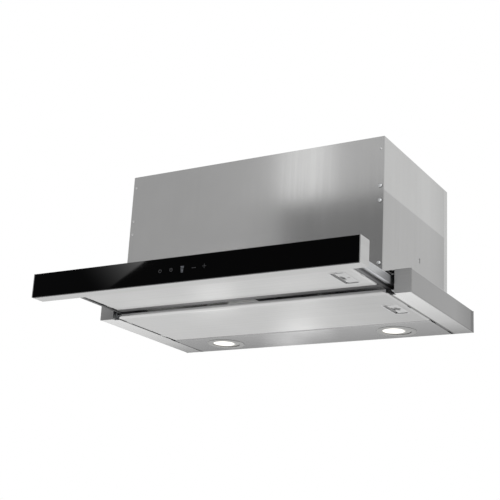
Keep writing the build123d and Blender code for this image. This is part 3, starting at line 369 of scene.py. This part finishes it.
# Materials by finish: name, colour, roughness, and for brushed metal the axis of its lines
materials = {
    "steel_across": brushed("brushed_steel_across", STEEL, 0.30, X_AXIS),
    "steel_deep": brushed("brushed_steel_deep", STEEL, 0.30, Y_AXIS),
    "steel_front": brushed("brushed_steel_front", STEEL, 0.18, Z_AXIS, grain=0.35),
    "steel_side": brushed("brushed_steel_side", STEEL, 0.22, Z_AXIS, grain=0.35, tones=SIDE_STEP_AND_SHADE_TONES),
    "steel_channel": brushed(
        "brushed_steel_channel", LIT_CHANNEL_STEEL, 0.12, Y_AXIS, grain=0.5, tones=CHANNEL_SHADE_TONES,
    ),
    "steel_lamp_panel": brushed(
        "brushed_steel_lamp_panel", SHADED_LAMP_STEEL, 0.22, X_AXIS, grain=0.5, tones=LAMP_PANEL_SHADE_TONES,
    ),
    "steel_back": brushed("brushed_steel_back", STEEL, 0.25, X_AXIS, grain=0.5),
    "steel_rear": brushed("brushed_steel_rear", STEEL, 0.25, X_AXIS, grain=0.5, tones=REAR_SHADE_TONES),
    "steel_cap": brushed("brushed_steel_cap", DULL_STEEL, 0.6, X_AXIS, grain=0.5),
    "steel_filter": brushed("brushed_steel_filter", FILTER_STEEL, 0.34, X_AXIS, grain=0.7),
    "steel_rear_filter": brushed(
        "brushed_steel_rear_filter", FILTER_STEEL, 0.34, X_AXIS, grain=0.7, tones=REAR_FILTER_SHADE_TONES,
    ),
    "zinc": brushed("zinc_plated_steel", (0.66, 0.67, 0.68), 0.38, Y_AXIS, grain=0.4),
    "rail": brushed(
        "zinc_plated_rail", (0.62, 0.63, 0.64), 0.38, Y_AXIS, grain=0.4, tones=RAIL_SHADE_TONES,
    ),
    "latch_housing": brushed("satin_latch_housing", (0.68, 0.68, 0.68), 0.5, X_AXIS, grain=0.3),
    "latch_slider": brushed(
        "satin_latch_slider", (0.66, 0.66, 0.66), 0.5, X_AXIS, grain=0.3, tones=SLIDER_SHADE_TONES,
        shade_spots=pit_shade_centres(),
    ),
    "bright": brushed("bright_steel", (0.75, 0.75, 0.75), 0.2, Z_AXIS, grain=0.3),
    "mesh": brushed("aluminium_mesh", (0.70, 0.70, 0.71), 0.35, X_AXIS, grain=0.6),
    "lamp_ring": brushed("lamp_ring", (0.40, 0.40, 0.395), 0.32, X_AXIS, grain=0.3),
    "dark_paint": moulded("dark_painted_steel", (0.03, 0.03, 0.032), 0.5),
    "visor_side_paint": moulded(
        "painted_visor_side", (0.12, 0.12, 0.122), 0.5, tones=VISOR_SIDE_SHADE_TONES,
    ),
    # Dark grey that stands for the shade on the rear crossmember: painted shade
    "crossmember_shade": moulded(
        "shaded_crossmember", (0.15, 0.15, 0.152), 0.5, tones=CROSSMEMBER_REFLECTION_TONES,
    ),
    "circuit": moulded("circuit_board", (0.03, 0.16, 0.08), 0.45),
    "black": moulded("black_plastic", (0.025, 0.025, 0.027), 0.45),
    "white": moulded("white_plastic", (0.80, 0.80, 0.78), 0.45),
    "cast": moulded("cast_aluminium", (0.55, 0.55, 0.55), 0.45, metallic=1.0),
    "rubber": moulded("black_rubber", (0.02, 0.02, 0.02), 0.8),
    "glass": black_glass(),
    "lens": lens(),
}


def each(words, *names):
    """Node names made of each word and each name."""
    return tuple(f"{word}_{name}" for name in names for word in words)


# The CAD nodes that have each finish
finishes = {
    "steel_across": ("base_front_crossmember", "front_bar"),
    "steel_deep": ("body_top_panel", *each(SIDES, "bar_cap")),
    "steel_front": ("body_front_panel",),
    "steel_side": each(SIDES, "side_panel"),
    "steel_channel": each(SIDES, "side_channel"),
    "steel_lamp_panel": ("lamp_panel",),
    "steel_back": ("body_back_panel",),
    "steel_rear": ("base_rear_wall",),
    "steel_cap": each(SIDES, "channel_cap"),
    "steel_filter": ("front_filter_panel",),
    "steel_rear_filter": ("rear_filter_panel",),
    "zinc": (*each(SIDES, "slide_bracket", "outer_rail"), "motor_bracket", "switch_lever"),
    "rail": each(SIDES, "inner_rail"),
    "latch_housing": each(ENDS, "latch_housing"),
    "latch_slider": each(ENDS, "latch_slider"),
    "bright": ("body_rivets", "motor_shaft", *each(SIDES, "ball_cage")),
    "mesh": each(ENDS, "filter_mesh"),
    "lamp_ring": each(SIDES, "lamp_housing"),
    "dark_paint": ("visor_front_crossmember",),
    "visor_side_paint": each(SIDES, "visor_side"),
    "crossmember_shade": ("visor_rear_crossmember",),
    "circuit": ("touch_board", "control_board"),
    "black": (
        "duct_collar", *each(ENDS, "damper_flap"), "impeller", *each(SIDES, "scroll_half"),
        "control_box", "control_box_lid", "cable_gland", "limit_switch",
    ),
    "white": ("lamp_driver",),
    "cast": ("motor_housing", "run_capacitor"),
    "rubber": ("motor_mounts",),
    "glass": ("glass_panel",),
    "lens": each(SIDES, "lamp_lens"),
}
for finish, names in finishes.items():
    for name in names:
        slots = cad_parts[name].data.materials
        slots.clear()
        slots.append(materials[finish])


def new_piece(name, bm, material, body):
    """Piece made of a bmesh that rides on a body."""
    mesh = bpy.data.meshes.new(name)
    bm.to_mesh(mesh)
    bm.free()
    mesh.materials.append(material)
    obj = linked(name, mesh)
    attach(obj, body)
    return obj


# Touch symbols on the glass: sizes, places of their centres as (x, z), and strengths of light
ICON_STROKE = 0.8 * MM
ICON_HEIGHT = 0.12 * MM
ICON_RADIUS = 2.5 * MM
ICON_ARM = 3.5 * MM
ICON_HALF_GAP = 0.5 * MM
ICON_STEPS = 24
POWER_ARC = (120, 420)
POWER_BAR_SHARES = (0.3, 1.25)
HOUR_HAND_SHARE, MINUTE_HAND_SHARE = 0.5, 0.7
LEVELS = range(-2, 3)
LEVEL_HALF_WIDTH, LEVEL_WIDENING, LEVEL_STEP = 2.4 * MM, 0.3 * MM, 2.2 * MM
POWER_PLACE = (-42.0 * MM, -23.2 * MM)
TIMER_PLACE = (-21.2 * MM, -23.1 * MM)
LEVEL_PLACE = (-0.9 * MM, -24.1 * MM)
LESS_PLACE = (20.7 * MM, -23.9 * MM)
MORE_PLACE = (39.4 * MM, -22.8 * MM)
ICON_LIGHTS = {"dim": 0.014, "faint": 0.008, "bright": 0.17}


def stroke(bm, points, closed=False):
    """Add a raised ribbon on the glass along points given as (x, z)."""
    count = len(points)
    half = ICON_STROKE / 2
    back, front = GLASS_FACE, GLASS_FACE - ICON_HEIGHT
    rings = []
    for i, (x, z) in enumerate(points):
        before = points[(i - 1) % count] if closed or i else points[i]
        after = points[(i + 1) % count] if closed or i < count - 1 else points[i]
        dx, dz = after[0] - before[0], after[1] - before[1]
        length = math.hypot(dx, dz)
        nx, nz = -dz / length * half, dx / length * half
        corners = [
            (x + nx, back, z + nz), (x + nx, front, z + nz),
            (x - nx, front, z - nz), (x - nx, back, z - nz),
        ]
        rings.append([bm.verts.new(corner) for corner in corners])
    for one, two in zip(rings, rings[1:] + rings[:1] if closed else rings[1:]):
        for i in range(4):
            j = (i + 1) % 4
            bm.faces.new((one[i], one[j], two[j], two[i]))
    if not closed:
        bm.faces.new(rings[0])
        bm.faces.new(list(reversed(rings[-1])))


def arc(radius, start, end):
    """Points on an arc round the origin, angles in degrees from +X towards +Z."""
    turns = [math.radians(start + (end - start) * i / ICON_STEPS) for i in range(ICON_STEPS + 1)]
    return [(radius * math.cos(t), radius * math.sin(t)) for t in turns]


def circle(radius, count):
    """Points on a circle round the origin."""
    turns = [2 * math.pi * k / count for k in range(count)]
    return [(radius * math.cos(t), radius * math.sin(t)) for t in turns]


def icon(name, place, material, lines, loops=()):
    """Symbol on the glass made of open lines and closed loops round its place."""
    bm = bmesh.new()
    x, z = place
    for shapes, closed in ((lines, False), (loops, True)):
        for points in shapes:
            stroke(bm, [(x + px, z + pz) for px, pz in points], closed)
    bmesh.ops.recalc_face_normals(bm, faces=bm.faces)
    new_piece(name, bm, material, "visor")


def icon_light(name, strength):
    """Printed symbol lit from behind, a little uneven."""
    nodes = Nodes(name)
    uneven = nodes.mapped(nodes.noise((400.0, 400.0, 400.0), detail=2.0), 0, 1)
    color = nodes.two_colors(uneven, (0.010, 0.010, 0.011), (0.015, 0.015, 0.016))
    nodes.surface({"Base Color": color, "Roughness": 0.5})
    nodes.surface({"Emission Color": (0.85, 0.9, 1.0, 1), "Emission Strength": strength})
    return nodes.material


def level_bar(i):
    """One bar of the level gauge; the bars get wider upwards."""
    half, z = LEVEL_HALF_WIDTH + LEVEL_WIDENING * i, LEVEL_STEP * i
    return [(-half, z), (half, z)]


def touch_icons():
    """Touch symbols: power, timer, level gauge, less and more."""
    light = {name: icon_light(f"icon_{name}", glow) for name, glow in ICON_LIGHTS.items()}
    radius, arm, gap = ICON_RADIUS, ICON_ARM, ICON_HALF_GAP
    power_bar = [(0, radius * share) for share in POWER_BAR_SHARES]
    icon("icon_power", POWER_PLACE, light["dim"], [arc(radius, *POWER_ARC), power_bar])
    hands = [[(0, radius * MINUTE_HAND_SHARE), (0, 0)], [(0, 0), (radius * HOUR_HAND_SHARE, 0)]]
    icon("icon_timer", TIMER_PLACE, light["dim"], hands, [circle(radius, ICON_STEPS)])
    icon("icon_level", LEVEL_PLACE, light["bright"], [level_bar(i) for i in LEVELS])
    icon("icon_less", LESS_PLACE, light["dim"], [[(-arm, 0), (arm, 0)]])
    icon("icon_more", MORE_PLACE, light["dim"], [[(0, -arm), (0, arm)]])
    side_arms = [[(-arm, 0), (-gap, 0)], [(gap, 0), (arm, 0)]]
    icon("icon_more_arms", MORE_PLACE, light["faint"], side_arms)


touch_icons()

# Screw heads on the lid and low domes over the front panel's rivets
SCREW_RADIUS = 3.4 * MM
SCREW_DOME = 1.5 * MM
SCREW_RIM_DROP_SHARE = 0.8
CROSS_WIDTH = 0.9 * MM
CROSS_REACH_SHARE = 0.62
CROSS_DEPTH_SHARE = 0.55
CROSS_DEPTH = SCREW_DOME * CROSS_DEPTH_SHARE
SCREW_RINGS, SCREW_SPOKES = 12, 48
RIVET_RADIUS = 3.4 * MM
RIVET_DOME = 1.2 * MM
RIVET_RINGS, RIVET_SPOKES = 8, 32
SMOOTH_ANGLE = math.radians(40)
RIVET_INSET, SCREW_INSET = 6.0 * MM, 7.5 * MM
RIVET_HEIGHTS = (13.0 * MM, 117.9 * MM, 143.0 * MM)
SCREW_DEPTHS = (-105.0 * MM, 0.0, 105.0 * MM)


def head(name, place, top, rings, finish):
    """Closed head on the housing: a fan round its top, a band between each two rings, a base."""
    bm = bmesh.new()
    centre = bm.verts.new(top)
    grid = [[bm.verts.new(point) for point in ring] for ring in rings]
    spokes = len(grid[0])
    for k in range(spokes):
        j = (k + 1) % spokes
        bm.faces.new((centre, grid[0][k], grid[0][j]))
        for one, two in zip(grid, grid[1:]):
            bm.faces.new((one[k], two[k], two[j], one[j]))
    bm.faces.new(list(reversed(grid[-1])))
    bmesh.ops.transform(bm, matrix=Matrix.Translation(Vector(place)), verts=bm.verts)
    obj = new_piece(name, bm, materials[finish], "hood")
    for polygon in obj.data.polygons:
        polygon.use_smooth = True
    obj.data.set_sharp_from_angle(angle=SMOOTH_ANGLE)


def screw_head(name, place):
    """Pan head with a cross recess that faces up, its rim on the lid."""
    rings = []
    for i in range(1, SCREW_RINGS + 1):
        share = i / SCREW_RINGS
        rise = SCREW_DOME * math.sqrt(1 - SCREW_RIM_DROP_SHARE * share ** 3) if share < 1 else 0
        ring = []
        for x, y in circle(share * SCREW_RADIUS, SCREW_SPOKES):
            in_cross = min(abs(x), abs(y)) < CROSS_WIDTH / 2 and share < CROSS_REACH_SHARE
            ring.append((x, y, rise - (CROSS_DEPTH if in_cross else 0)))
        rings.append(ring)
    head(name, place, (0, 0, SCREW_DOME - CROSS_DEPTH), rings, "bright")


def rivet_head(name, place):
    """Low dome that faces forward over a rivet."""
    rings = []
    for i in range(1, RIVET_RINGS + 1):
        tilt = math.pi / 2 * i / RIVET_RINGS
        rise = RIVET_DOME * math.cos(tilt)
        ring = circle(RIVET_RADIUS * math.sin(tilt), RIVET_SPOKES)
        rings.append([(x, -rise, z) for x, z in ring])
    head(name, place, (0, -RIVET_DOME, 0), rings, "zinc")


for i, z in enumerate(RIVET_HEIGHTS):
    rivet_head(f"rivet_head_{i}", (BODY_RIGHT - RIVET_INSET, RIVET_FACE, z))
for side, x in zip(SIDES, (BODY_LEFT + SCREW_INSET, BODY_RIGHT - SCREW_INSET)):
    for i, y in enumerate(SCREW_DEPTHS):
        screw_head(f"lid_screw_{side}_{i}", (x, y, LID_FACE))

# Floor: its height and reach, and how bright metal sees it before and behind a fade along Y
FLOOR_Z = -1.9
FLOOR_REACH = 30
FLOOR_IN_METAL = (1.08, 0.35)
FLOOR_FADE = (5.9, 7.7)


def floor_paint():
    """Pale paint that keeps the object's shadow; metal sees it as the white background."""
    nodes = Nodes("pale_floor")
    nodes.surface({"Base Color": (0.86, 0.86, 0.86, 1), "Roughness": 0.9})
    strength = nodes.mapped(nodes.along(Y_AXIS), *FLOOR_IN_METAL, *FLOOR_FADE)
    white = nodes.add("Emission", {"Color": (1, 1, 1, 1), "Strength": strength}).outputs[0]
    in_metal = nodes.add("LightPath").outputs["Is Glossy Ray"]
    mix = nodes.add("MixShader", {0: in_metal, 1: nodes.shader.outputs[0], 2: white})
    fill(nodes.tree, nodes.tree.nodes["Material Output"], {0: mix.outputs[0]})
    return nodes.material


def floor():
    """Wide flat floor below the object."""
    far, z = FLOOR_REACH, FLOOR_Z
    corners = [(-far, -far, z), (far, -far, z), (far, far, z), (-far, far, z)]
    mesh = bpy.data.meshes.new("floor")
    mesh.from_pydata(corners, [], [(0, 1, 2, 3)])
    mesh.materials.append(floor_paint())
    obj = linked("floor", mesh)


floor()

# World: colour of the light from the front and from the back, and where it turns
WORLD_FRONT = (0.25, 0.25, 0.252, 1)
WORLD_BACK = (0.86, 0.86, 0.86, 1)
WORLD_TURN = {"From Min": -0.9, "From Max": 0.7}


def studio():
    """World: white for the camera; for light, a dim front and a bright back, as in the photograph."""
    world = bpy.data.worlds.new("studio")
    bpy.context.scene.world = world
    world.use_nodes = True
    tree = world.node_tree
    tree.nodes.clear()
    direction = add_node(tree, "TexCoord").outputs["Generated"]
    depth = add_node(tree, "SeparateXYZ", {0: direction}).outputs[Y_AXIS]
    turn = add_node(
        tree, "MapRange", {"Value": depth, **WORLD_TURN}, interpolation_type="SMOOTHSTEP",
    ).outputs[0]
    color = mixed(tree, "RGBA", turn, WORLD_FRONT, WORLD_BACK)
    light = add_node(tree, "Background", {"Color": color, "Strength": 1.0}).outputs[0]
    seen = add_node(tree, "Background", {"Color": (1, 1, 1, 1), "Strength": 1.0}).outputs[0]
    to_camera = add_node(tree, "LightPath").outputs["Is Camera Ray"]
    mix = add_node(tree, "MixShader", {0: to_camera, 1: light, 2: seen}).outputs[0]
    add_node(tree, "OutputWorld", {0: mix})


def lamp(name, place, aim, size, radiance, fade=None, roll=0.0, glossy=True, spread=math.pi):
    """Soft rectangular lamp that faces the point aim, with the power that its radiance needs.

    A fade (axis, power) lets its light grow from one edge to the other.
    """
    width, height = size
    data = bpy.data.lights.new(name, "AREA")
    data.shape = "RECTANGLE"
    data.size, data.size_y = size
    data.energy = radiance * math.pi * width * height
    data.spread = spread
    if fade is not None:
        axis, power = fade
        data.use_nodes = True
        tree = data.node_tree
        across = add_node(tree, "NewGeometry").outputs["Parametric"]
        share = add_node(tree, "SeparateXYZ", {0: across}).outputs[axis]
        curve = add_node(tree, "Math", {0: share, 1: power}, operation="POWER").outputs[0]
        fill(tree, tree.nodes["Emission"], {"Strength": curve})
    obj = linked(name, data)
    place = Vector(place)
    turn = (place - Vector(aim)).to_track_quat("Z", "Y").to_matrix().to_4x4()
    obj.matrix_world = Matrix.Translation(place) @ turn @ Matrix.Rotation(roll, 4, "Z")
    obj.visible_camera = False
    obj.visible_glossy = glossy


studio()

# Main lamps: place, the point that it faces, width and height, and radiance
lamp("key", (1.0, -2.6, 1.2), (0, -0.1, 0.05), (1.2, 1.2), 6.0)
lamp("under", (-0.2, -1.2, -1.5), (0, -0.1, 0), (1.6, 1.0), 5.0, glossy=False)
lamp("inside", (-0.03, 0.0, 0.215), (-0.03, 0.0, 0.0), (0.40, 0.24), 1.7)

# Panels before the body, which its front reflects as lighter fields
lamp("front_left", (-0.83, -0.542, 0.53), (-0.83, 0, 0.53), (1.34, 0.74), 0.27)
lamp("front_right", (-0.018, -0.542, 0.49), (-0.018, 0, 0.49), (0.276, 0.394), 0.42)
lamp("front_patch", (-0.084, -0.492, 0.402), (-0.084, 0, 0.402), (0.13, 0.236), 0.45)
lamp(
    "front_blend", (-0.239, -0.500, 0.402), (-0.239, 0, 0.402), (0.18, 0.236), 0.12,
    fade=(X_AXIS, 1.0),
)

# Small panels below the filters and the lamp panel, which these reflect as soft patches of light
lamp("under_filter", (-0.08, 0.23, -0.110), (-0.08, 0.23, 0), (0.08, 0.14), 0.75)
lamp("under_drawer", (-0.10, -0.085, -0.088), (-0.10, -0.085, 0), (0.08, 0.08), 0.5)
lamp("under_lamps", (-0.19, 0.36, -0.105), (-0.19, 0.36, 0), (0.07, 0.12), 0.75)

# Window that the black glass reflects, with a narrow spread so that little else gets its light
WINDOW_FADE = (Y_AXIS, 2.15)
WINDOW_ROLL = math.radians(-47.91)
WINDOW_SPREAD = math.radians(50)
lamp(
    "glass_window", (-0.3757, -0.627, 0.1062), (-0.1362, -0.3261, -0.0036), (0.0653, 0.1262), 1.05,
    fade=WINDOW_FADE, roll=WINDOW_ROLL, spread=WINDOW_SPREAD,
)
